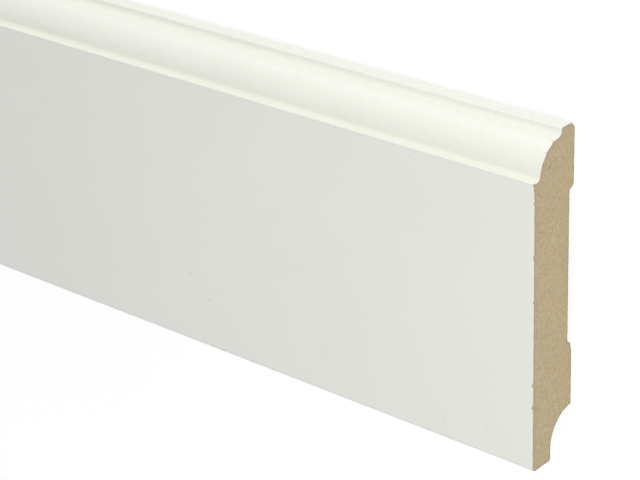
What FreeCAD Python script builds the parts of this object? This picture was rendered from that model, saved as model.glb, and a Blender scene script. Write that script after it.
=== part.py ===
import FreeCAD, Part
import math
import os

# One length of skirting board, moulded from fibreboard, lying on its back with its face up.
# X runs along the board, Y from its foot to its moulded top edge, Z from its back to its face.
# The origin is under the middle of the board, in the plane of its back. Sizes are millimetres.

# Overall sizes
length = 2400.0
height = 100.0
thickness = 18.0

# Moulding along the top of the face, measured from the face and from the top edge. The quirk's wall leans
# back as it goes up, so that the ovolo runs on from it
ledge_depth = 2.2
quirk_height = 2.0
quirk_lean = 0.4
ovolo_width = 8.0
ovolo_height = 7.7
ovolo_radius = 9.7
sill_width = 1.5
cap_height = 2.3
back_chamfer = 1.5

# Back, relieved between two pads so that the board bears on a rough wall at top and bottom only
relief_depth = 2.0
relief_slope = 1.0
upper_pad_width = 16.8
lower_pad_width = 16.2
pad_ease_depth = 0.6
pad_ease_width = 3.4

# Cove behind the foot, where a cable or the edge of the flooring goes
cove_radius = 10.0
cove_overrun = 0.4
cove_lip = 4.0

# Rounding of each long arris
foot_round = 1.2
face_arris_round = 0.3
quirk_round = 1.4
cap_crease_round = 1.4
cap_round = 0.35
pad_round = 1.2
ease_round = 0.5
foot_back_round = 0.8

along = FreeCAD.Vector(1, 0, 0)
foot = -height / 2
top = height / 2


def corner(across, up):
    """A corner of the section, on the plane of the left end."""
    return FreeCAD.Vector(-length / 2, across, up)


# Corners of the section, from the foot over the face to the top edge and back along the wall side
ledge = top - cap_height - ovolo_height - quirk_height
ledge_up = thickness - ledge_depth
ovolo_up = ledge_up - quirk_lean
sill_up = ovolo_up - ovolo_width
cap_depth = sill_up - sill_width
cove_depth = cove_radius - cove_overrun
cove_start = foot + cove_lip
cove_end = cove_start + math.sqrt(cove_radius ** 2 - cove_overrun ** 2)
upper_pad_end = top - back_chamfer - upper_pad_width
lower_pad_end = cove_end + lower_pad_width

foot_front = corner(foot, thickness)
face_arris = corner(ledge, thickness)
ledge_back = corner(ledge, ledge_up)
ovolo_start = corner(ledge + quirk_height, ovolo_up)
ovolo_end = corner(top - cap_height, sill_up)
cap_crease = corner(top - cap_height, cap_depth)
cap_front = corner(top, cap_depth)
chamfer_top = corner(top, back_chamfer)
chamfer_back = corner(top - back_chamfer, 0)
upper_pad = corner(upper_pad_end, 0)
relief_top = corner(upper_pad_end - relief_slope, relief_depth)
relief_bottom = corner(lower_pad_end + pad_ease_width + relief_slope, relief_depth)
pad_ease = corner(lower_pad_end + pad_ease_width, pad_ease_depth)
lower_pad = corner(lower_pad_end, 0)
cove_back = corner(cove_end, 0)
cove_foot = corner(cove_start, cove_depth)
foot_back = corner(foot, cove_depth)


def line(start, end):
    return Part.LineSegment(start, end).toShape()


def bow(start, end, radius, side):
    """The arc of this radius between two corners, bowed to one side of the line between them."""
    chord = end - start
    rise = radius - math.sqrt(radius ** 2 - (chord.Length / 2) ** 2)
    outward = chord.cross(along).normalize() * side
    return Part.Arc(start, (start + end) * 0.5 + outward * rise, end).toShape()


def section():
    """The board's cross-section as a face."""
    over_the_face = [foot_front, face_arris, ledge_back, ovolo_start]
    round_the_back = [ovolo_end, cap_crease, cap_front, chamfer_top, chamfer_back, upper_pad, relief_top,
                      relief_bottom, pad_ease, lower_pad, cove_back]
    round_the_foot = [cove_foot, foot_back, foot_front]
    edges = [line(*pair) for pair in zip(over_the_face, over_the_face[1:])]
    edges.append(bow(ovolo_start, ovolo_end, ovolo_radius, -1))
    edges += [line(*pair) for pair in zip(round_the_back, round_the_back[1:])]
    edges.append(bow(cove_back, cove_foot, cove_radius, 1))
    edges += [line(*pair) for pair in zip(round_the_foot, round_the_foot[1:])]
    return Part.Face(Part.Wire(edges))


def long_edge(solid, at):
    """The edge that runs the board's length through this corner of the section."""
    lengthwise = [edge for edge in solid.Edges if edge.Length > length / 2]
    return next(edge for edge in lengthwise if edge.distToShape(Part.Vertex(at))[0] < 0.001)


def skirting_board():
    """The section run out to the board's length, with its long arrises rounded."""
    solid = section().extrude(along * length)
    quirk_room = 0.95 * min(ledge_depth - face_arris_round, quirk_height)
    crease_room = 0.95 * min(sill_width, cap_height - cap_round)
    rounds = [(foot_front, foot_round), (face_arris, face_arris_round),
              (ledge_back, min(quirk_round, quirk_room)),
              (cap_crease, min(cap_crease_round, crease_room)), (cap_front, cap_round),
              (upper_pad, pad_round), (pad_ease, ease_round), (foot_back, foot_back_round)]
    for at, radius in rounds:
        solid = solid.makeFillet(radius, [long_edge(solid, at)])
    return solid


os.makedirs("parts", exist_ok=True)
board = skirting_board()
board.exportStep("parts/skirting_board.step")
print("skirting_board", "valid", board.isValid(), "volume", round(board.Volume), "faces", len(board.Faces))
print("box", board.BoundBox)
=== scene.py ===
import math

import bpy
import numpy as np
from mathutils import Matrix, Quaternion, Vector, noise
from mathutils.geometry import delaunay_2d_cdt


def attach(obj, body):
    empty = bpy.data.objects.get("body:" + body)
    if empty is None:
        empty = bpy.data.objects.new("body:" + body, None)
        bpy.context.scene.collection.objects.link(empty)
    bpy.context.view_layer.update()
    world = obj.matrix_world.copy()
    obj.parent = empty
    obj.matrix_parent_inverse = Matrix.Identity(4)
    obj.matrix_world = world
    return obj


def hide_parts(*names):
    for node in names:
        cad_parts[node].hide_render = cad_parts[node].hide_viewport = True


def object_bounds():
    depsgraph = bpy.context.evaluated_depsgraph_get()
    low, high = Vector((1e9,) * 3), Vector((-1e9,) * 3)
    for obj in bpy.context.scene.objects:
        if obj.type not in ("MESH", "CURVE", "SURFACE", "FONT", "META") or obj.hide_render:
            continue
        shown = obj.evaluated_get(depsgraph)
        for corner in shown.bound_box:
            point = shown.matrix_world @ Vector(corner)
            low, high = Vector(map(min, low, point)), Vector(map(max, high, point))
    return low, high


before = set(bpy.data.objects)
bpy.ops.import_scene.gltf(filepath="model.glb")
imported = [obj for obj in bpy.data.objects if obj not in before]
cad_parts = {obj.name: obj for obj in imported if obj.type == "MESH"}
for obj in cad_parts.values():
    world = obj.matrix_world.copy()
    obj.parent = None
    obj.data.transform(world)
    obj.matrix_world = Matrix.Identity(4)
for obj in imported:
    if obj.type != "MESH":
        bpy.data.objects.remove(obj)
cadLow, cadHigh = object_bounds()
print("frame loaded")

mm = 0.001


# The camera stands a little past the shown end and looks back along the face
photoView = {
    "aimInFromEnd": 0.0757, "aimAcross": 0.0003, "distance": 0.67286,
    "heading": -144.078, "tilt": 42.635, "roll": 118.24,
    "lens": 131.16, "sensor": 36.0, "nearest": 0.02, "farthest": 200,
}


def placeCamera(view):
    heading, tilt = math.radians(view["heading"]), math.radians(view["tilt"])
    level = math.cos(tilt)
    forward = Vector((math.cos(heading) * level, math.sin(heading) * level, -math.sin(tilt)))
    data = bpy.data.cameras.new("photoCamera")
    data.lens, data.sensor_width = view["lens"], view["sensor"]
    data.clip_start, data.clip_end = view["nearest"], view["farthest"]
    camera = bpy.data.objects.new("photoCamera", data)
    bpy.context.collection.objects.link(camera)
    aim = Vector((cadHigh.x - view["aimInFromEnd"], view["aimAcross"], cadHigh.z))
    camera.location = aim - forward * view["distance"]
    camera.rotation_mode = "QUATERNION"
    roll = Quaternion((0, 0, 1), -math.radians(view["roll"]))
    camera.rotation_quaternion = forward.to_track_quat("-Z", "Y") @ roll
    bpy.context.scene.camera = camera


placeCamera(photoView)
print("camera placed")


# The board's section in millimetres
board = {
    "length": 2400, "height": 100, "thickness": 18,
    "ledgeDepth": 2.2, "quirkHeight": 2.0, "quirkLean": 0.4, "ovoloWidth": 8.0, "ovoloHeight": 7.7,
    "ovoloRadius": 9.7, "sillWidth": 1.5, "capHeight": 2.3, "backChamfer": 1.5,
    "reliefDepth": 2.0, "reliefSlope": 1.0, "upperPadWidth": 16.8, "lowerPadWidth": 16.2,
    "easeDepth": 0.6, "easeWidth": 3.4, "coveRadius": 10.0, "coveOverrun": 0.4, "coveLip": 4.0,
    "footRound": 1.2, "faceArrisRound": 0.3, "quirkRound": 1.4, "creaseRound": 1.4, "capRound": 0.35,
    "padRound": 1.2, "easeRound": 0.5, "footBackRound": 0.8,
}

# How finely each run of the outline is divided near the sawn ends, in millimetres, and what covers it
runs = {
    "chamfer": (0.4, "raw"), "upperPad": (0.7, "raw"), "padEnd": (0.5, "raw"), "relief": (0.9, "raw"),
    "padSlope": (0.5, "raw"), "ease": (0.5, "raw"), "lowerPad": (0.7, "raw"), "cove": (0.5, "raw"),
    "coveWall": (0.5, "raw"), "foot": (0.35, "paint"), "face": (0.28, "paint"), "ledge": (0.28, "paint"),
    "quirk": (0.28, "paint"), "ovolo": (0.28, "paint"), "sill": (0.28, "paint"), "fillet": (0.28, "paint"),
    "cap": (0.28, "paint"),
}
wholeRuns = ["ledge", "quirk", "sill", "fillet"]
milledRuns = ["foot", "ledge", "quirk", "ovolo", "sill", "fillet", "cap"]
leastSteps = {"arc": 6, "corner": 2, "straight": 2}
cornerTurn = 18  # the most degrees that one step of a rounded corner turns

# The material that covers each kind of surface, as its place among the board's slots
slots = {"paint": 0, "sawn": 1, "raw": 2}

# Painted shade and highlight, given as primer lying thin or thick: darker in the quirk and the crease, paler
# on the ovolo's crest and along the cap. Each spot gives the corner, how far from it across and up, how
# much, and how far about
coatSpots = [
    ("quirk", (0.4, 0.35), -0.85, 1.1), ("ovolo", (6.6, -4.8), 0.55, 1.4), ("fillet", (0, 0), -1.0, 1.0),
    ("cap", (-0.6, 0), 0.9, 0.7), ("cap", (0, -2.5), 0.4, 2.0),
]
mistReach = 1.6  # how far the spray strays on to the raw back, in millimetres


def bowedRun(start, end, radius, step):
    # points inside the arc between two corners; a positive radius bows it out of the board
    chord = end - start
    side = Vector((-chord.y, chord.x)).normalized()
    rise = math.sqrt(radius ** 2 - (chord.length / 2) ** 2)
    centre = (start + end) / 2 - side * math.copysign(rise, radius)
    turn = 2 * math.asin(chord.length / 2 / abs(radius))
    count = max(round(abs(radius) * turn / step), leastSteps["arc"])
    first = start - centre
    for i in range(1, count):
        angle = -math.copysign(turn, radius) * i / count
        yield centre + Vector((first.x * math.cos(angle) - first.y * math.sin(angle),
                               first.x * math.sin(angle) + first.y * math.cos(angle)))


def roundedCorner(before, corner, after, radius):
    # points of the small arc that rounds a corner, or the corner itself
    if not radius:
        return [corner]
    toward, onward = (before - corner).normalized(), (after - corner).normalized()
    half = toward.angle(onward) / 2
    setback = radius / math.tan(half)
    centre = corner + (toward + onward).normalized() * radius / math.sin(half)
    first, last = corner + toward * setback, corner + onward * setback
    count = max(math.ceil((math.pi - 2 * half) / math.radians(cornerTurn)), leastSteps["corner"])
    points = [first.lerp(last, i / count) for i in range(count + 1)]
    return [centre + (point - centre).normalized() * radius for point in points]


def sectionCorners(size):
    # run that starts at each corner, its place across and up in millimetres, and its rounding
    foot, top, up = -size["height"] / 2, size["height"] / 2, size["thickness"]
    sill = top - size["capHeight"]
    ledge = sill - size["ovoloHeight"] - size["quirkHeight"]
    ledgeUp = up - size["ledgeDepth"]
    ovoloUp = ledgeUp - size["quirkLean"]
    sillUp = ovoloUp - size["ovoloWidth"]
    capDepth = sillUp - size["sillWidth"]
    padTop = top - size["backChamfer"]
    padEnd = padTop - size["upperPadWidth"]
    coveStart = foot + size["coveLip"]
    coveDepth = size["coveRadius"] - size["coveOverrun"]
    coveEnd = coveStart + math.sqrt(size["coveRadius"] ** 2 - size["coveOverrun"] ** 2)
    easeStart = coveEnd + size["lowerPadWidth"]
    easeEnd = easeStart + size["easeWidth"]
    return [
        ("chamfer", top, size["backChamfer"], 0), ("upperPad", padTop, 0, 0),
        ("padEnd", padEnd, 0, size["padRound"]),
        ("relief", padEnd - size["reliefSlope"], size["reliefDepth"], 0),
        ("padSlope", easeEnd + size["reliefSlope"], size["reliefDepth"], 0),
        ("ease", easeEnd, size["easeDepth"], size["easeRound"]), ("lowerPad", easeStart, 0, 0),
        ("cove", coveEnd, 0, 0), ("coveWall", coveStart, coveDepth, 0),
        ("foot", foot, coveDepth, size["footBackRound"]), ("face", foot, up, size["footRound"]),
        ("ledge", ledge, up, size["faceArrisRound"]), ("quirk", ledge, ledgeUp, size["quirkRound"]),
        ("ovolo", ledge + size["quirkHeight"], ovoloUp, 0), ("sill", sill, sillUp, 0),
        ("fillet", sill, capDepth, size["creaseRound"]), ("cap", top, capDepth, size["capRound"]),
    ]


def sectionOutline(size):
    # the closed outline, the run of each of its points, those that the long middle keeps, and rounded ones
    corners = sectionCorners(size)
    bows = {"ovolo": size["ovoloRadius"], "cove": -size["coveRadius"]}
    places = [Vector((across, rise)) for _, across, rise, _ in corners]
    points, names, kept, rounded = [], [], [], []
    for i, (name, _, _, radius) in enumerate(corners):
        after = (i + 1) % len(corners)
        turned = roundedCorner(places[i - 1], places[i], places[after], radius)
        goal = roundedCorner(places[i], places[after], places[(i + 2) % len(corners)], corners[after][3])[0]
        step = runs[name][0]
        if name in bows:
            between = list(bowedRun(turned[-1], goal, bows[name], step))
        else:
            count = max(round((goal - turned[-1]).length / step), leastSteps["straight"])
            between = [turned[-1].lerp(goal, j / count) for j in range(1, count)]
        points += turned + between
        names += [name] * (len(turned) + len(between))
        whole = name in bows or name in wholeRuns
        kept += [True] * len(turned) + [whole or j in (0, len(between) - 1) for j in range(len(between))]
        rounded += [name == "face"] * len(turned) + [False] * len(between)
    return np.array([tuple(point) for point in points]), np.array(names), np.array(kept), np.array(rounded)


def outlineDistances(points):
    # how far round the outline each point lies, and the whole way round
    steps = np.linalg.norm(np.roll(points, -1, axis=0) - points, axis=1)
    return np.concatenate([[0], np.cumsum(steps)[:-1]]), steps.sum()


def outlineNormals(points):
    # directions out of the board at the outline's points
    along = np.roll(points, -1, axis=0) - np.roll(points, 1, axis=0)
    along /= np.linalg.norm(along, axis=1)[:, None]
    return np.stack([-along[:, 1], along[:, 0]], axis=1)


outline, runNames, keptPoints, roundedPoints = sectionOutline(board)
around, girth = outlineDistances(outline)
outward = outlineNormals(outline)
painted = np.array([runs[name][1] == "paint" for name in runNames])
painted[0] = True  # the cap's paint ends on this corner
print("outline of", len(outline), "points,", int(keptPoints.sum()), "of them along the middle")


# The two sawn ends. A chip is placed across the board and up from its back, and reaches in from the end;
# half is half its length along the cut edge. A pit has its place across and up, its radius and its depth.
# All in millimetres
sawnEnds = {
    1: {"seed": 3, "chips": [
        {"at": (37.8, 18), "reach": 0.75, "half": 0.85, "depth": 0.25},
        {"at": (36.4, 18), "reach": 0.25, "half": 2.4, "depth": 0.05},
        {"at": (32.4, 18), "reach": 0.3, "half": 0.6, "depth": 0.08},
        {"at": (16.5, 18), "reach": 0.35, "half": 0.8, "depth": 0.08},
        {"at": (3.0, 18), "reach": 0.3, "half": 0.5, "depth": 0.06},
        {"at": (-22.4, 18), "reach": 0.5, "half": 0.65, "depth": 0.1},
        {"at": (-29.4, 18), "reach": 0.6, "half": 0.7, "depth": 0.14},
        {"at": (47.1, 9.6), "reach": 0.35, "half": 0.5, "depth": 0.1},
        {"at": (45.1, 12.6), "reach": 0.22, "half": 0.35, "depth": 0.05},
    ], "pits": [(40.4, 11.42, 0.28, 0.35)]},
    -1: {"seed": 8, "chips": [
        {"at": (37.9, 17.9), "reach": 0.5, "half": 0.8, "depth": 0.2},
        {"at": (27.0, 18), "reach": 0.35, "half": 0.7, "depth": 0.08},
        {"at": (-6.5, 18), "reach": 0.6, "half": 0.9, "depth": 0.12},
        {"at": (-38.2, 18), "reach": 0.4, "half": 0.6, "depth": 0.08},
        {"at": (-49.4, 17.6), "reach": 0.6, "half": 1.0, "depth": 0.2},
        {"at": (45.8, 11.9), "reach": 0.5, "half": 0.8, "depth": 0.1},
    ], "pits": [(-12.0, 7.2, 0.4, 0.14), (22.5, 12.8, 0.35, 0.12)]},
}

# How the saw breaks the edges and roughens the grain; steps, reaches and reliefs in millimetres
sawing = {
    "raggedness": 0.09, "raggedStep": 0.9, "fineStep": 0.4, "fineShare": 0.7, "raggedMean": 0.5,
    "raggedMost": 1.6, "fadeIn": 0.8,
    "chipStep": 0.55, "chipWander": 0.35, "bareReach": 1.1, "bareFade": 0.35, "bareEdge": 0.3,
    "netStep": 0.29, "netJitter": 0.09, "netRows": 0.866, "netClear": 0.6, "netTolerance": 1e-5,
    "grainStep": 0.45, "grainMean": 0.4, "grainRelief": 0.035,
    "tuftStep": 1.3, "tuftMean": 0.3, "tuftRelief": 0.03, "pitSquash": 1.8, "pitShade": 1.25,
}
seedSteps = (17.3, 5.1, 9.7)  # how far each seed shifts the noise along each axis


def roughly(points, step, seed):
    # smooth random values between -1 and 1 that change over about this many millimetres
    shift = Vector([seed * seedStep for seedStep in seedSteps])
    return np.array([noise.noise(Vector((point[0], point[1], 0)) / step + shift) for point in points])


def cutEdge(end):
    # how far each point of the outline is broken back along the board by the saw
    fine = roughly(outline, sawing["fineStep"], end["seed"] + 1) * sawing["fineShare"]
    ragged = roughly(outline, sawing["raggedStep"], end["seed"]) + fine
    return sawing["raggedness"] * np.clip(sawing["raggedMean"] + ragged, 0, sawing["raggedMost"])


def chipping(end, depth):
    # at this depth from the end: how far the surface is sunk, and how much of its paint is gone
    sunk, bare = np.zeros(len(outline)), np.zeros(len(outline))
    wander = roughly(outline, sawing["chipStep"], end["seed"] + 5) * sawing["chipWander"]
    for chip in end["chips"]:
        centre = around[np.argmin(np.linalg.norm(outline - np.array(chip["at"]), axis=1))]
        aside = np.abs(around - centre)
        aside = np.minimum(aside, girth - aside) / chip["half"]
        away = aside ** 2 + (depth / chip["reach"]) ** 2 + wander
        sunk = np.maximum(sunk, chip["depth"] * np.sqrt(np.clip(1 - away, 0, 1)))
        bare = np.maximum(bare, np.clip((sawing["bareReach"] - away) / sawing["bareFade"], 0, 1))
    return sunk, bare * painted


def distanceFrom(points, starts, stops):
    # distance from each point to the nearest of these straight pieces
    nearest = np.full(len(points), np.inf)
    for start, stop in zip(starts, stops):
        span = stop - start
        share = np.clip((points - start) @ span / max(span @ span, 1e-12), 0, 1)
        nearest = np.minimum(nearest, np.hypot(*(points - start - share[:, None] * span).T))
    return nearest


def insideOf(points, loop):
    inside = np.zeros(len(points), bool)
    for start, stop in zip(loop, np.roll(loop, -1, axis=0)):
        if start[1] != stop[1]:
            crosses = (start[1] > points[:, 1]) != (stop[1] > points[:, 1])
            where = start[0] + (points[:, 1] - start[1]) * (stop[0] - start[0]) / (stop[1] - start[1])
            inside ^= crosses & (points[:, 0] < where)
    return inside


def grainPoints(border, seed):
    # a jittered net of points over the sawn end, clear of its border
    dice = np.random.default_rng(seed)
    step = sawing["netStep"]
    low, high = border.min(axis=0), border.max(axis=0)
    rows = np.arange(low[1] + step, high[1], step * sawing["netRows"])
    columns = np.arange(low[0] + step, high[0], step)
    net = np.array([(across + (i % 2) * step / 2, rise)
                    for i, rise in enumerate(rows) for across in columns])
    net += dice.uniform(-1, 1, net.shape) * sawing["netJitter"]
    net = net[insideOf(net, border)]
    clear = distanceFrom(net, border, np.roll(border, -1, axis=0)) > step * sawing["netClear"]
    return net[clear]


def endRelief(points, end):
    # how far the sawn end is worn in at these points, and how dark the pits in it are
    grain = sawing["grainMean"] + roughly(points, sawing["grainStep"], end["seed"] + 2)
    tufts = sawing["tuftMean"] + roughly(points, sawing["tuftStep"], end["seed"] + 3)
    relief = np.maximum(grain, 0) * sawing["grainRelief"] + np.maximum(tufts, 0) * sawing["tuftRelief"]
    pits, dark = np.zeros(len(points)), np.zeros(len(points))
    for across, rise, radius, depth in end["pits"]:
        away = np.hypot(points[:, 0] - across, (points[:, 1] - rise) * sawing["pitSquash"]) / radius
        pits = np.maximum(pits, depth * np.clip(1 - away ** 2, 0, 1))
        dark = np.maximum(dark, np.clip(sawing["pitShade"] - away, 0, 1))
    return relief + pits, dark


class Growing:
    # vertices, faces and their values, gathered until the mesh is made
    def __init__(self):
        self.points, self.faces, self.finish, self.corners = [], [], [], []
        names = ("bare", "milled", "arris", "mist", "coat", "toPaint", "toBack", "pit")
        self.values = {name: [] for name in names}

    def addPoints(self, points, **values):
        first = len(self.points)
        self.points += [tuple(point) for point in points]
        for name, column in self.values.items():
            column += list(np.broadcast_to(values.get(name, 0.0), len(points)))
        return list(range(first, len(self.points)))


# Strips of the bake's map, in its pixels: the whole board in three rows, both ends at a finer scale. Only
# the reach of the strips beside the ends is in millimetres
bakeMap = {
    "size": 1024, "gap": 7, "rowHeight": 272, "rowCount": 3, "endWidth": 497,
    "bandHeight": 26, "bandWidth": 948, "bandReach": 6.0,
}


def bandPlace(side):
    # where the strip beside an end starts in the map
    rows = bakeMap["rowCount"] * (bakeMap["rowHeight"] + bakeMap["gap"])
    return rows + bakeMap["gap"] + (side > 0) * (bakeMap["bandHeight"] + bakeMap["gap"])


def longPlace(x, distance):
    # place in the map of each corner of a face on the board's long surfaces
    gap, reach = bakeMap["gap"], bakeMap["bandReach"]
    middle = sum(x) / len(x)
    if board["length"] / 2 - abs(middle) < reach:
        low = bandPlace(middle)
        return [(gap + spot / girth * bakeMap["bandWidth"],
                 low + (board["length"] / 2 - abs(place)) / reach * bakeMap["bandHeight"])
                for place, spot in zip(x, distance)]
    rowLength = (board["length"] - 2 * reach) / bakeMap["rowCount"]
    row = int((middle + board["length"] / 2 - reach) // rowLength)
    start = -board["length"] / 2 + reach + row * rowLength
    low = gap + row * (bakeMap["rowHeight"] + gap)
    return [(gap + (place - start) / rowLength * (bakeMap["size"] - 2 * gap),
             low + spot / girth * bakeMap["rowHeight"]) for place, spot in zip(x, distance)]


def endPlace(side, points):
    # place in the map of a point on a sawn end
    gap = bakeMap["gap"]
    low = bandPlace(1) + bakeMap["bandHeight"] + gap
    scale = bakeMap["endWidth"] / board["height"]
    left = gap + (side > 0) * (bakeMap["endWidth"] + gap)
    return [(left + (across + board["height"] / 2) * scale, low + rise * scale) for across, rise in points]


# Rings of the board's surface near an end: how far in from it, in millimetres, and the stride, which is 1
# where the ring keeps all of the outline's points. Between them each row of the map has a few more, with
# stride 0, which keep only the points of the long middle
nearRings = [
    (0, 1), (0.12, 1), (0.24, 1), (0.38, 1), (0.55, 1), (0.8, 1), (1.15, 1), (1.7, 1), (2.6, 1),
    (4, 3), (6, 3), (11, 12), (24, 12), (60, 12),
]
ringsToRow = 4
sharpAngle = 32


def thinned(stride):
    # the outline's points that a ring keeps
    if stride == 0:
        return np.flatnonzero(keptPoints)
    place = np.arange(len(outline))
    return np.flatnonzero(keptPoints | (place % stride == 0))


def ringPlaces():
    # side, depth in from that end and stride of every ring, from one end of the board to the other
    reach, rows = bakeMap["bandReach"], bakeMap["rowCount"]
    rowLength = (board["length"] - 2 * reach) / rows
    middle = [(-1, reach + rowLength * i / ringsToRow, 0) for i in range(1, rows * ringsToRow)]
    return [(-1, *ring) for ring in nearRings] + middle + [(1, *ring) for ring in reversed(nearRings)]


def ringPoints(side, depth):
    # a ring of the board's surface in millimetres, and how much paint is gone along it
    end = sawnEnds[side]
    sunk, bare = chipping(end, depth)
    back = depth + cutEdge(end) * math.exp(-depth / sawing["fadeIn"])
    section = outline - outward * sunk[:, None]
    return np.column_stack([side * (board["length"] / 2 - back), section]), bare


def mistAround():
    # paint spray that strays on to the raw back, fading with the distance from the painted surfaces
    raw = np.array([runs[name][1] == "raw" for name in runNames])
    edges = around[np.flatnonzero(raw != np.roll(raw, 1))]
    gaps = np.abs(around[:, None] - np.append(edges, edges + girth)[None])
    return np.exp(-gaps.min(axis=1) / mistReach)


def coatAround():
    # painted shade and highlight round the outline, from about -1 (darker) to 1 (paler), and always 0 on the
    # flat face
    places = {name: np.array((across, up)) for name, across, up, _ in sectionCorners(board)}
    coat = np.zeros(len(outline))
    for name, onward, much, reach in coatSpots:
        away = np.linalg.norm(outline - places[name] - onward, axis=1)
        coat += much * np.exp(-(away / reach) ** 2)
    return coat * (runNames != "face")


def addSides(mesh):
    # the second value is painted shade in the quirk and crease and painted highlight on the ovolo's crest
    # and cap
    mist, coat = mistAround(), coatAround()
    milled, arris = np.isin(runNames, milledRuns) * 1.0, roundedPoints * painted * 1.0
    rings = []
    for side, depth, stride in ringPlaces():
        keep = thinned(stride)
        points, bare = ringPoints(side, depth)
        ids = mesh.addPoints(points[keep], bare=bare[keep], milled=milled[keep], arris=arris[keep],
                             mist=mist[keep], coat=coat[keep])
        rings.append((keep, ids, points[:, 0]))
    count = len(outline)
    for (lowKeep, lowIds, lowX), (highKeep, highIds, highX) in zip(rings, rings[1:]):
        lowAt, highAt = dict(zip(lowKeep, lowIds)), dict(zip(highKeep, highIds))
        coarse = lowKeep if len(lowKeep) <= len(highKeep) else highKeep
        for start, stop in zip(coarse, np.append(coarse[1:], count)):
            spots = range(start, stop + 1)
            low = [spot for spot in reversed(spots) if spot % count in lowAt]
            high = [spot for spot in spots if spot % count in highAt]
            mesh.faces.append([lowAt[spot % count] for spot in low]
                              + [highAt[spot % count] for spot in high])
            mesh.finish.append(slots[runs[runNames[start]][1]])
            x = [lowX[spot % count] for spot in low] + [highX[spot % count] for spot in high]
            distance = [around[spot] if spot < count else girth for spot in low + high]
            mesh.corners.append(longPlace(x, distance))
    return rings[0], rings[-1]


def addSawnEnd(mesh, side, ring):
    end = sawnEnds[side]
    border = np.array([mesh.points[i][1:] for i in ring[1]])
    inner = grainPoints(border, end["seed"])
    points = np.vstack([border, inner])
    count = len(border)
    loop = [(i, (i + 1) % count) for i in range(count)]
    triangles = delaunay_2d_cdt([Vector(point) for point in points], loop, [], 1, sawing["netTolerance"])[2]
    relief, dark = endRelief(inner, end)
    worn = np.column_stack([side * (board["length"] / 2 - relief), inner])
    ids = ring[1] + mesh.addPoints(worn, pit=dark)
    whole = painted & (chipping(end, 0)[1] < sawing["bareEdge"])
    for name, edge in (("toPaint", whole), ("toBack", ~painted)):
        away = distanceFrom(points, border[edge], np.roll(border, -1, axis=0)[edge])
        for i, value in zip(ids, away):
            mesh.values[name][i] = value
    for triangle in triangles:
        turned = triangle if side > 0 else list(reversed(triangle))
        mesh.faces.append([ids[i] for i in turned])
        mesh.finish.append(slots["sawn"])
        mesh.corners.append(endPlace(side, points[turned]))


def makeBoard():
    mesh = Growing()
    far, shown = addSides(mesh)
    addSawnEnd(mesh, -1, far)
    addSawnEnd(mesh, 1, shown)
    data = bpy.data.meshes.new("skirtingBoard")
    data.from_pydata((np.array(mesh.points) * mm).tolist(), [], mesh.faces)
    data.polygons.foreach_set("material_index", mesh.finish)
    for name, column in mesh.values.items():
        data.attributes.new(name, "FLOAT", "POINT").data.foreach_set("value", np.array(column, np.float32))
    places = np.array([place for corners in mesh.corners for place in corners]) / bakeMap["size"]
    data.uv_layers.new(name="OFBake").uv.foreach_set("vector", places.astype(np.float32).ravel())
    data.shade_smooth()
    data.set_sharp_from_angle(angle=math.radians(sharpAngle))
    data.validate()
    piece = bpy.data.objects.new("skirtingBoard", data)
    bpy.context.collection.objects.link(piece)
    data.calc_loop_triangles()
    print("board of", len(data.vertices), "points and", len(data.loop_triangles), "triangles")
    return piece


skirtingBoard = makeBoard()


def isOutput(value):
    return isinstance(value, bpy.types.NodeSocket)


def put(tree, kind, inputs=None, **settings):
    # a new node; its inputs are values or other nodes' outputs
    node = tree.nodes.new("ShaderNode" + kind)
    for name, value in settings.items():
        setattr(node, name, value)
    for name, value in (inputs or {}).items():
        if isOutput(value):
            tree.links.new(value, node.inputs[name])
        else:
            node.inputs[name].default_value = value
    return node


def sums(tree, operation, first, second, clamp=False):
    return put(tree, "Math", {0: first, 1: second}, operation=operation, use_clamp=clamp).outputs[0]


def times(tree, first, second, clamp=False):
    return sums(tree, "MULTIPLY", first, second, clamp)


def plus(tree, first, second):
    return sums(tree, "ADD", first, second)


def larger(tree, first, second):
    return sums(tree, "MAXIMUM", first, second)


def vectors(tree, operation, first, second):
    return put(tree, "VectorMath", {0: first, 1: second}, operation=operation).outputs


def stretched(tree, vector, factor):
    return put(tree, "VectorMath", {0: vector, "Scale": factor}, operation="SCALE").outputs[0]


def newMaterial(name):
    material = bpy.data.materials.new(name)
    material.use_nodes = True
    material.node_tree.nodes.clear()
    return material, material.node_tree


def newGroup(name, inputs, outputs):
    # an empty node group with its named sockets
    tree = bpy.data.node_groups.new(name, "ShaderNodeTree")
    for label, kind in inputs.items():
        tree.interface.new_socket(label, in_out="INPUT", socket_type="NodeSocket" + kind)
    for label, kind in outputs.items():
        tree.interface.new_socket(label, in_out="OUTPUT", socket_type="NodeSocket" + kind)
    return tree, tree.nodes.new("NodeGroupInput").outputs, tree.nodes.new("NodeGroupOutput").inputs


def placeGroup(tree, group, inputs):
    return put(tree, "Group", inputs, node_tree=group).outputs


def blend(tree, share, first, second):
    # a mix of two colours, each a value or another node's output
    colours = [value if isOutput(value) else (*value, 1) for value in (first, second)]
    return put(tree, "Mix", {0: share, 6: colours[0], 7: colours[1]}, data_type="RGBA").outputs[2]


def spread(tree, value, low, high, newLow=0.0, newHigh=1.0):
    # a value that runs from newLow to newHigh as this one goes from low to high
    return put(tree, "MapRange", {0: value, 1: low, 2: high, 3: newLow, 4: newHigh}).outputs[0]


cloudSteps = (1, 0.7, 1.3)  # how far each seed shifts a cloud along each axis


def cloud(tree, place, size, detail=2.0, seed=0.0, long=(1, 1, 1)):
    # noise with features this many millimetres across, drawn out along the axes by these factors
    scale = [1 / (size * mm * factor) for factor in long]
    shift = [seed * cloudStep for cloudStep in cloudSteps]
    moved = put(tree, "Mapping", {"Vector": place, "Scale": scale, "Location": shift}).outputs[0]
    return put(tree, "TexNoise", {"Vector": moved, "Scale": 1.0, "Detail": detail}).outputs[0]


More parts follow.
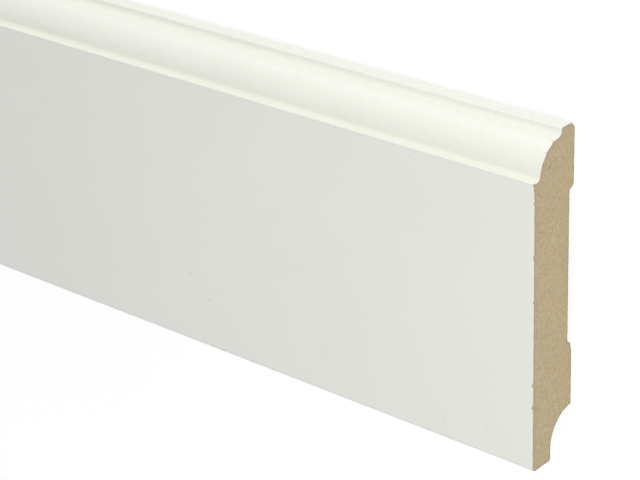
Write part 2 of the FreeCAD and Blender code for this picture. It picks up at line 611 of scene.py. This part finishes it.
def shaken(tree, place, size, push):
    # the position shaken about by noise, so that a round mark gets a torn outline. The noise's size is in
    # millimetres and its push in metres, and it doesn't push where its colour is middle grey
    shake = put(tree, "TexNoise", {"Vector": place, "Scale": 1 / (size * mm), "Detail": 2.0})
    centred = vectors(tree, "SUBTRACT", shake.outputs["Color"], (0.5, 0.5, 0.5))[0]
    return vectors(tree, "ADD", place, stretched(tree, centred, push))[0]


def attribute(tree, name):
    return put(tree, "Attribute", attribute_name=name).outputs["Fac"]


# Colours of the three finishes and of what marks them
shades = {
    "primer": (0.833, 0.854, 0.774), "primerFine": (0.801, 0.824, 0.739),
    # Below, the thinner primer colour is both the stray spray on the back and painted shade in the creases,
    # and the thicker one is a painted highlight
    "primerSprayAndShade": (0.785, 0.795, 0.69), "primerHighlight": (0.85, 0.874, 0.812),
    "dirt": (0.3, 0.28, 0.24), "scuff": (0.5, 0.5, 0.47),
    "fibreDark": (0.354, 0.268, 0.145), "fibrePale": (0.567, 0.477, 0.303),
    "fibreWarm": (0.522, 0.34, 0.216), "fibreCool": (0.393, 0.364, 0.256),
    "fibreStraw": (0.482, 0.388, 0.177), "fibreAsh": (0.443, 0.36, 0.275),
    "skin": (0.38, 0.3, 0.31), "backEdge": (0.3, 0.28, 0.155), "pit": (0.07, 0.045, 0.03),
    "darkSpeck": (0.2, 0.14, 0.08), "paleSpeck": (0.69, 0.6, 0.4),
}

# The board's fibres: noises with their sizes in millimetres, and each hue with its colour and strength
fibres = {
    "fine": {"size": 0.34, "detail": 5, "long": (1.35, 1.35, 1)},
    "tufts": {"size": 1.1, "seed": 4.1, "long": (1.6, 1.6, 1)}, "tuftShare": 0.25, "tone": (0.35, 0.65),
    "ruddy": {"size": 0.5, "detail": 3, "seed": 9.3, "long": (1.3, 1.3, 1)},
    "bleached": {"size": 0.6, "detail": 3, "seed": 15.7, "long": (1.3, 1.3, 1)},
    "hueMiddle": 0.5, "hueReach": 0.16,
    "hues": {"Warmth": ("fibreWarm", 0.45), "Coolness": ("fibreCool", 0.45),
             "Straw": ("fibreStraw", 0.32), "Ash": ("fibreAsh", 0.32)},
}

# Ragged specks: how fine their wobble is, how large it is against their radius, and how sharp their rim
speckling = {"wobblesPerMm": 2.6, "wobble": 1.6, "rim": 2.5}


def makeFibreSpeckle():
    # the short fibres of the board, wherever its inside shows: how pale each is, and its hue
    outputs = dict.fromkeys(["Tone", *fibres["hues"], "Height"], "Float")
    tree, given, result = newGroup("fibreSpeckle", {"Position": "Vector"}, outputs)
    fine = times(tree, cloud(tree, given["Position"], **fibres["fine"]), 1 - fibres["tuftShare"])
    tufts = times(tree, cloud(tree, given["Position"], **fibres["tufts"]), fibres["tuftShare"])
    tone = plus(tree, fine, tufts)
    tree.links.new(spread(tree, tone, *fibres["tone"]), result["Tone"])
    tree.links.new(tone, result["Height"])
    middle, reach = fibres["hueMiddle"], fibres["hueReach"]
    for name, above, below in (("ruddy", "Warmth", "Coolness"), ("bleached", "Straw", "Ash")):
        hue = cloud(tree, given["Position"], **fibres[name])
        tree.links.new(spread(tree, hue, middle, middle + reach), result[above])
        tree.links.new(spread(tree, hue, middle, middle - reach), result[below])
    return tree


def makeStraySpecks():
    # few small ragged specks: how far apart and how large they are, in millimetres, and the share kept
    inputs = {"Position": "Vector", "Apart": "Float", "Radius": "Float", "Share": "Float"}
    tree, given, result = newGroup("straySpecks", inputs, {"Mask": "Float"})
    push = times(tree, given["Radius"], speckling["wobble"] * mm)
    ragged = shaken(tree, given["Position"], 1 / speckling["wobblesPerMm"], push)
    density = sums(tree, "DIVIDE", 1 / mm, given["Apart"])
    cells = put(tree, "TexVoronoi", {"Vector": ragged, "Scale": density}).outputs
    away = times(tree, cells["Distance"], given["Apart"])
    near = sums(tree, "DIVIDE", sums(tree, "SUBTRACT", given["Radius"], away), given["Radius"])
    near = times(tree, near, speckling["rim"], clamp=True)
    dice = put(tree, "SeparateColor", {0: cells["Color"]}).outputs[0]
    kept = sums(tree, "LESS_THAN", dice, given["Share"])
    tree.links.new(times(tree, near, kept), result["Mask"])
    return tree


fibreSpeckle, straySpecks = makeFibreSpeckle(), makeStraySpecks()


def specks(tree, place, kind):
    return placeGroup(tree, straySpecks, {"Position": place, **kind})["Mask"]


def fibreColour(tree, here):
    # the board's own fibre colour, and the height of the fibres
    fibre = placeGroup(tree, fibreSpeckle, {"Position": here})
    colour = blend(tree, fibre["Tone"], shades["fibreDark"], shades["fibrePale"])
    for name, (shade, share) in fibres["hues"].items():
        colour = blend(tree, times(tree, fibre[name], share), colour, shades[shade])
    return colour, fibre["Height"]


# Marks seen on the board. On the face: in from the shown end, up from the foot, radius; on its sawn
# end: up from the foot, up from the back, radius. All in millimetres
faceMarks = [
    (129.2, 24.0, 0.36), (121.3, 17.1, 0.27), (41.7, 85.7, 0.22), (31.3, 6.5, 0.17), (24.2, 69.0, 0.14),
    (95.1, 50.0, 0.16), (109.6, 25.8, 0.2), (132.6, 76.4, 0.14), (185.0, 84.4, 0.17), (162.0, 30.6, 0.16),
    (141.3, 30.9, 0.16), (210.3, 28.4, 0.22), (129.3, 59.0, 0.13), (125.1, 56.0, 0.13), (49.8, 6.2, 0.13),
]
footMarks = [
    (121.4, 0.6, 0.55), (117.9, 0.65, 0.6), (116.8, 0.6, 0.6), (112.2, 0.55, 0.3), (105.3, 0.65, 0.5),
    (104.5, 0.6, 0.5), (96.5, 0.7, 0.45), (95.7, 0.6, 0.45), (90.8, 0.5, 0.3), (43.8, 0.6, 0.4),
    (29.1, 0.7, 0.5), (28.5, 0.6, 0.4), (3.2, 0.5, 0.3),
]
endPit = [(90.75, 11.38, 0.25), (90.35, 11.38, 0.28)]
endDark = [
    (84.2, 15.9, 0.3), (83.3, 14.8, 0.28), (84.6, 14.2, 0.2), (73.2, 15.6, 0.3), (26.4, 16.3, 0.3),
    (19.8, 16.8, 0.3), (17.0, 10.8, 0.28), (61.5, 4.9, 0.22), (38.1, 12.3, 0.22), (93.6, 8.3, 0.2),
]
endPale = [
    (71.8, 7.2, 0.3), (57.7, 10.1, 0.32), (15.8, 6.8, 0.28), (10.9, 11.8, 0.34), (11.4, 12.2, 0.28),
    (45.0, 6.2, 0.22), (80.3, 9.4, 0.22),
]

# Faint scuffs up and down the face, as their two ends, in from the shown end and up from the foot, and
# radius. Past the shown length, which is in metres, the board has more of them, strewn at random
scuffs = [
    ((16.3, 11.5), (16.0, 2.8), 0.16), ((31.3, 11.0), (31.6, 3.0), 0.15),
    ((75.5, 23.5), (75.8, 9.8), 0.15), ((86.0, 25.4), (86.2, 19.8), 0.12),
    ((91.6, 56.6), (91.6, 50.4), 0.1), ((95.1, 54.8), (95.1, 46.0), 0.16),
    ((95.6, 14.0), (95.8, 5.0), 0.12), ((100.4, 29.0), (99.4, 24.0), 0.11),
    ((104.4, 40.4), (102.8, 34.1), 0.12), ((101.3, 15.0), (102.9, 5.5), 0.08),
    ((124.4, 74.8), (124.2, 67.9), 0.15), ((125.4, 24.8), (125.3, 16.0), 0.15),
    ((120.2, 20.1), (116.3, 20.2), 0.1), ((90.7, 17.5), (90.3, 13.0), 0.09),
]
strewn = {"past": 0.215, "drawnOut": 25, "specks": {"Apart": 6.5, "Radius": 0.16, "Share": 0.5}}

# Fine lines in the paint, from one point to another: in from the shown end, up from the foot, up from the
# back
hairs = [
    ((1.7, 22.0, 18), (0.5, 21.3, 18), 0.08), ((1.0, 19.5, 18), (0.3, 18.0, 18), 0.04),
    ((1.5, 97.3, 9.1), (0.5, 97.2, 9.3), 0.11), ((0.9, 95.1, 12.6), (0.0, 95.1, 12.6), 0.1),
    ((0.8, 100, 5.2), (0.3, 100, 4.7), 0.07),
]

# Where a mark or line fades out and where it is full, as shares of its radius
markRim, lineRim = (1.2, 0.5), (1.6, 0.4)


def atEnd(inward, high, up):
    # a place in metres, given as in from the shown end, up from the foot and up from the back
    return Vector((board["length"] / 2 - inward, high - board["height"] / 2, up)) * mm


def onFace(marks):
    return [(atEnd(inward, high, board["thickness"]), radius) for inward, high, radius in marks]


def onEnd(marks):
    return [(atEnd(0, high, up), radius) for high, up, radius in marks]


def markMask(tree, place, marks):
    # where any of these round marks lies, given as their places in metres and their radii
    mask = 0.0
    for at, radius in marks:
        away = vectors(tree, "DISTANCE", place, at)["Value"]
        mask = larger(tree, mask, spread(tree, away, *(radius * mm * edge for edge in markRim)))
    return mask


def lineMask(tree, place, lines):
    # where any of these thin straight lines runs
    mask = 0.0
    for start, stop, radius in lines:
        start, stop = atEnd(*start), atEnd(*stop)
        span = stop - start
        gone = vectors(tree, "SUBTRACT", place, start)[0]
        along = vectors(tree, "DOT_PRODUCT", gone, span / span.length_squared)["Value"]
        share = sums(tree, "ADD", along, 0.0, clamp=True)
        away = vectors(tree, "DISTANCE", gone, stretched(tree, span, share))["Value"]
        mask = larger(tree, mask, spread(tree, away, *(radius * mm * edge for edge in lineRim)))
    return mask


def scuffMask(tree, place):
    # the faint scuffs on the face: those seen, and those strewn where the board runs out of the picture
    up = board["thickness"]
    seen = lineMask(tree, place, [((*start, up), (*stop, up), radius) for start, stop, radius in scuffs])
    squeezed = vectors(tree, "MULTIPLY", place, (1, 1 / strewn["drawnOut"], 1))[0]
    along = put(tree, "SeparateXYZ", {0: place}).outputs[0]
    beyond = sums(tree, "LESS_THAN", along, board["length"] / 2 * mm - strewn["past"])
    return larger(tree, seen, times(tree, specks(tree, squeezed, strewn["specks"]), beyond))


def finishShader(tree, colour, roughness, height, rise):
    bump = put(tree, "Bump", {"Height": height, "Distance": rise * mm, "Strength": 1.0}).outputs[0]
    surface = {"Base Color": colour, "Roughness": roughness, "Normal": bump}
    put(tree, "OutputMaterial", {"Surface": put(tree, "BsdfPrincipled", surface).outputs[0]})


# The primer. The sizes of noises are in millimetres, and a range of four numbers is what goes in and what
# comes out
primer = {
    "grain": {"size": 0.45, "detail": 3, "seed": 2.2}, "patches": {"size": 30}, "patchShare": 0.25,
    "evenRange": (0.35, 0.6), "roughness": (0.35, 0.6, 0.52, 0.46),
    "fuzz": {"size": 0.5, "detail": 3, "seed": 7.7, "long": (1.5, 1, 1)},
    "pocks": {"Apart": 1.5, "Radius": 0.24, "Share": 0.35}, "pockDirt": 0.16,
    "dust": {"Apart": 19.0, "Radius": 0.34, "Share": 0.5}, "dustDirt": 0.5,
    "torn": {"size": 0.4, "push": 0.5 * mm}, "bent": {"size": 1.6, "push": 0.9 * mm},
    "scuffDirt": 0.08, "hairDirt": 0.6,
    "rubs": {"size": 1.3, "detail": 3, "seed": 5.0, "long": (2, 1, 1)},
    "rubRange": (0.64, 0.7), "rubbed": 0.45,
    "footTorn": {"size": 0.5, "push": 0.5 * mm}, "footDirt": 0.42,
    "fraying": (0.2, 0.8, -0.35, 0.35), "bareRange": (0.42, 0.58), "bareRoughness": 0.38,
    "grainRise": 0.2, "fuzzRise": 5.2, "pockDepth": 1.5, "bareDepth": 2.0, "rise": 0.025,
}


def paintDirt(tree, here, pocks):
    # how dirty the paint is: stray dust, the marks on the face, pocks, scuffs and hairs
    bent = shaken(tree, here, **primer["bent"])
    marks = markMask(tree, shaken(tree, here, **primer["torn"]), onFace(faceMarks))
    dust = larger(tree, specks(tree, here, primer["dust"]), marks)
    dirt = larger(tree, times(tree, dust, primer["dustDirt"]), times(tree, pocks, primer["pockDirt"]))
    dirt = larger(tree, dirt, times(tree, scuffMask(tree, bent), primer["scuffDirt"]))
    return larger(tree, dirt, times(tree, lineMask(tree, bent, hairs), primer["hairDirt"]))


def primedPaint():
    # matt primer: even on the face, over raised fibre and small pocks where the board was milled
    material, tree = newMaterial("primedPaint")
    here = put(tree, "TexCoord").outputs["Object"]
    milled, coat = attribute(tree, "milled"), attribute(tree, "coat")
    grain = cloud(tree, here, **primer["grain"])
    fuzz = times(tree, cloud(tree, here, **primer["fuzz"]), milled)
    pocks = times(tree, specks(tree, here, primer["pocks"]), milled)
    patches = times(tree, cloud(tree, here, **primer["patches"]), primer["patchShare"])
    even = plus(tree, patches, times(tree, grain, 1 - primer["patchShare"]))
    colour = blend(tree, spread(tree, even, *primer["evenRange"]), shades["primerFine"], shades["primer"])
    # painted highlight on the ovolo's crest and along the cap, and painted shade in the quirk and the crease
    colour = blend(tree, times(tree, coat, 1.0, clamp=True), colour, shades["primerHighlight"])
    colour = blend(tree, times(tree, coat, -1.0, clamp=True), colour, shades["primerSprayAndShade"])
    colour = blend(tree, paintDirt(tree, here, pocks), colour, shades["dirt"])
    rubs = spread(tree, cloud(tree, here, **primer["rubs"]), *primer["rubRange"])
    rubs = times(tree, rubs, attribute(tree, "arris"))
    colour = blend(tree, times(tree, rubs, primer["rubbed"]), colour, shades["scuff"])
    knocks = markMask(tree, shaken(tree, here, **primer["footTorn"]), onFace(footMarks))
    colour = blend(tree, times(tree, knocks, primer["footDirt"]), colour, shades["dirt"])
    frayed = plus(tree, attribute(tree, "bare"), spread(tree, grain, *primer["fraying"]))
    bare = spread(tree, frayed, *primer["bareRange"])
    colour = blend(tree, bare, colour, fibreColour(tree, here)[0])
    raised = plus(tree, times(tree, grain, primer["grainRise"]), times(tree, fuzz, primer["fuzzRise"]))
    raised = sums(tree, "SUBTRACT", raised, times(tree, pocks, primer["pockDepth"]))
    height = sums(tree, "SUBTRACT", raised, times(tree, bare, primer["bareDepth"]))
    rough = spread(tree, even, *primer["roughness"])
    rough = plus(tree, rough, times(tree, bare, primer["bareRoughness"]))
    finishShader(tree, colour, rough, height, primer["rise"])
    return material


# The sawn end. Bands by the paint and by the raw back run over two distances from them in millimetres,
# with the strength at each; specks have their colour and strength
sawn = {
    "denser": (1.6, 0.4, 0.0, 0.24),
    "specks": [({"Apart": 3.4, "Radius": 0.3, "Share": 0.5}, "darkSpeck", 0.5),
               ({"Apart": 2.3, "Radius": 0.27, "Share": 0.6}, "paleSpeck", 0.9),
               ({"Apart": 1.5, "Radius": 0.24, "Share": 0.4}, "fibreDark", 0.6)],
    "outerSpecks": {"Apart": 1.15, "Radius": 0.2, "Share": 0.45},
    "outerByPaint": (3.2, 0.8, 0.0, 0.55), "outerByBack": (1.6, 0.5, 0.0, 0.5),
    "torn": {"size": 0.35, "push": 0.35 * mm}, "darkMarks": 0.75, "paleMarks": 0.8,
    "wander": {"size": 0.8, "seed": 3.3}, "wanderRange": (0.3, 0.7, -0.12, 0.12),
    "breaks": {"size": 1.2, "detail": 3, "seed": 11.9}, "breakRange": (0.38, 0.58, 0.5, 1.2),
    "skin": (0.2, 0.6, 1.0, 0.0), "backEdge": (0.15, 0.6, 0.8, 0.0),
    "roughness": (0.3, 0.7, 0.95, 0.82), "rise": 0.05,
}


def sawnFibreboard():
    # the cut section: even short fibres, a dark skin under the paint, stray pale and dark specks
    material, tree = newMaterial("sawnFibreboard")
    here = put(tree, "TexCoord").outputs["Object"]
    toPaint, toBack = attribute(tree, "toPaint"), attribute(tree, "toBack")
    colour, height = fibreColour(tree, here)
    colour = blend(tree, spread(tree, toPaint, *sawn["denser"]), colour, shades["fibreDark"])
    for kind, shade, amount in sawn["specks"]:
        colour = blend(tree, times(tree, specks(tree, here, kind), amount), colour, shades[shade])
    layer = larger(tree, spread(tree, toPaint, *sawn["outerByPaint"]),
                   spread(tree, toBack, *sawn["outerByBack"]))
    outer = times(tree, specks(tree, here, sawn["outerSpecks"]), layer)
    colour = blend(tree, outer, colour, shades["darkSpeck"])
    torn = shaken(tree, here, **sawn["torn"])
    for marks, shade, amount in ((endDark, "darkSpeck", "darkMarks"), (endPale, "paleSpeck", "paleMarks")):
        mask = times(tree, markMask(tree, torn, onEnd(marks)), sawn[amount])
        colour = blend(tree, mask, colour, shades[shade])
    wander = spread(tree, cloud(tree, here, **sawn["wander"]), *sawn["wanderRange"])
    breaks = spread(tree, cloud(tree, here, **sawn["breaks"]), *sawn["breakRange"])
    for name, distance in (("skin", toPaint), ("backEdge", toBack)):
        band = spread(tree, plus(tree, distance, wander), *sawn[name])
        colour = blend(tree, times(tree, band, breaks, clamp=True), colour, shades[name])
    pit = larger(tree, attribute(tree, "pit"), markMask(tree, torn, onEnd(endPit)))
    colour = blend(tree, pit, colour, shades["pit"])
    finishShader(tree, colour, spread(tree, height, *sawn["roughness"]), height, sawn["rise"])
    return material


# The planed back, with its sizes and ranges given as the primer's are
planed = {
    "streaks": {"size": 0.5, "detail": 3, "seed": 1.1, "long": (60, 1, 1)},
    "streakRange": (0.35, 0.65, 0.0, 0.3), "streakRise": 0.7,
    "cutterMarks": {"Scale": 140.0, "Distortion": 0.6, "Detail": 1.0}, "cutterRise": 0.25,
    "wander": {"size": 5, "seed": 8.4, "long": (2.5, 1, 1)}, "wanderRange": (0.3, 0.7, -0.3, 0.3),
    "flecks": {"size": 0.6, "detail": 5, "seed": 6.6}, "fleckRange": (0.25, 0.75, -0.4, 0.4),
    "sprayRange": (0.45, 1.1, 0.0, 0.8), "roughness": (0.5, 1.4, 0.88, 0.74), "rise": 0.02,
}


def rawBack():
    # the unpainted back: planed fibreboard with faint cutter marks and stray paint by its edges
    material, tree = newMaterial("rawBack")
    here = put(tree, "TexCoord").outputs["Object"]
    colour, height = fibreColour(tree, here)
    streaks = cloud(tree, here, **planed["streaks"])
    colour = blend(tree, spread(tree, streaks, *planed["streakRange"]), colour, shades["fibreDark"])
    cutter = put(tree, "TexWave", {"Vector": here, **planed["cutterMarks"]}, bands_direction="X")
    marks = times(tree, cutter.outputs["Fac"], planed["cutterRise"])
    wander = spread(tree, cloud(tree, here, **planed["wander"]), *planed["wanderRange"])
    flecks = spread(tree, cloud(tree, here, **planed["flecks"]), *planed["fleckRange"])
    spray = plus(tree, attribute(tree, "mist"), plus(tree, wander, flecks))
    colour = blend(tree, spread(tree, spray, *planed["sprayRange"]), colour, shades["primerSprayAndShade"])
    height = plus(tree, height, plus(tree, times(tree, streaks, planed["streakRise"]), marks))
    finishShader(tree, colour, spread(tree, height, *planed["roughness"]), height, planed["rise"])
    return material


for finish in (primedPaint(), sawnFibreboard(), rawBack()):
    skirtingBoard.data.materials.append(finish)

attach(skirtingBoard, "root")
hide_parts("skirting_board")
print("board finished")


# Three soft lamps: low beyond the moulded edge, in front of the foot, and a pool of light past the shown end
studio = {
    "floorSize": 60.0, "floorColour": 0.8, "whiteDiffuse": 0.22, "whiteGlow": 0.84,
    "skyLight": (0.588, 0.584, 0.606),
}
lamps = {
    "topLamp": {"kind": "SUN", "place": (0, 3, 0.42), "aim": (0, 0, 0), "energy": 1.66,
                "color": (1, 0.986, 0.94), "angle": math.radians(30)},
    "frontLamp": {"kind": "SUN", "place": (0.3, -1, 0.58), "aim": (0, 0, 0), "energy": 0.355,
                  "color": (0.75, 0.83, 1), "angle": math.radians(40)},
    "endLamp": {"kind": "SPOT", "place": (3, 0.01, 1.28), "aim": (1.384, 0.01, 0), "energy": 86.5,
                "color": (0.985, 1, 0.915), "spot_size": math.radians(15.9), "spot_blend": 1,
                "shadow_soft_size": 0.1},
}


def seenAsWhite(tree):
    # 1 where the camera sees the surface, straight or by way of gloss or glass
    path = put(tree, "LightPath").outputs
    seen = larger(tree, path["Is Camera Ray"], path["Is Glossy Ray"])
    return larger(tree, seen, path["Is Transmission Ray"])


def layFloor():
    half = studio["floorSize"] / 2
    corners = [(-half, -half), (half, -half), (half, half), (-half, half)]
    data = bpy.data.meshes.new("studioFloor")
    data.from_pydata([(x, y, cadLow.z) for x, y in corners], [], [(0, 1, 2, 3)])
    floor = bpy.data.objects.new("studioFloor", data)
    bpy.context.collection.objects.link(floor)
    material, tree = newMaterial("studioWhite")
    plain = put(tree, "BsdfDiffuse", {"Color": (*[studio["floorColour"]] * 3, 1)})
    pale = put(tree, "BsdfDiffuse", {"Color": (*[studio["whiteDiffuse"]] * 3, 1)})
    glow = put(tree, "Emission", {"Strength": studio["whiteGlow"]})
    white = put(tree, "AddShader", {0: pale.outputs[0], 1: glow.outputs[0]})
    mixed = put(tree, "MixShader", {0: seenAsWhite(tree), 1: plain.outputs[0], 2: white.outputs[0]})
    put(tree, "OutputMaterial", {"Surface": mixed.outputs[0]})
    data.materials.append(material)


def openSky():
    world = bpy.data.worlds.new("studioSky")
    world.use_nodes = True
    tree = world.node_tree
    tree.nodes.clear()
    light = put(tree, "Background", {"Color": (*studio["skyLight"], 1)})
    white = put(tree, "Background", {"Color": (1, 1, 1, 1)})
    mixed = put(tree, "MixShader", {0: seenAsWhite(tree), 1: light.outputs[0], 2: white.outputs[0]})
    put(tree, "OutputWorld", {"Surface": mixed.outputs[0]})
    bpy.context.scene.world = world


def hangLamp(name, kind, place, aim, **settings):
    data = bpy.data.lights.new(name, kind)
    for key, value in settings.items():
        setattr(data, key, value)
    lamp = bpy.data.objects.new(name, data)
    lamp.location = place
    lamp.rotation_euler = (Vector(aim) - Vector(place)).to_track_quat("-Z", "Y").to_euler()
    lamp.visible_camera = False
    bpy.context.collection.objects.link(lamp)


layFloor()
openSky()
for lampName, lampSettings in lamps.items():
    hangLamp(lampName, **lampSettings)
bpy.context.scene.view_settings.view_transform = "Standard"
print("studio lit")
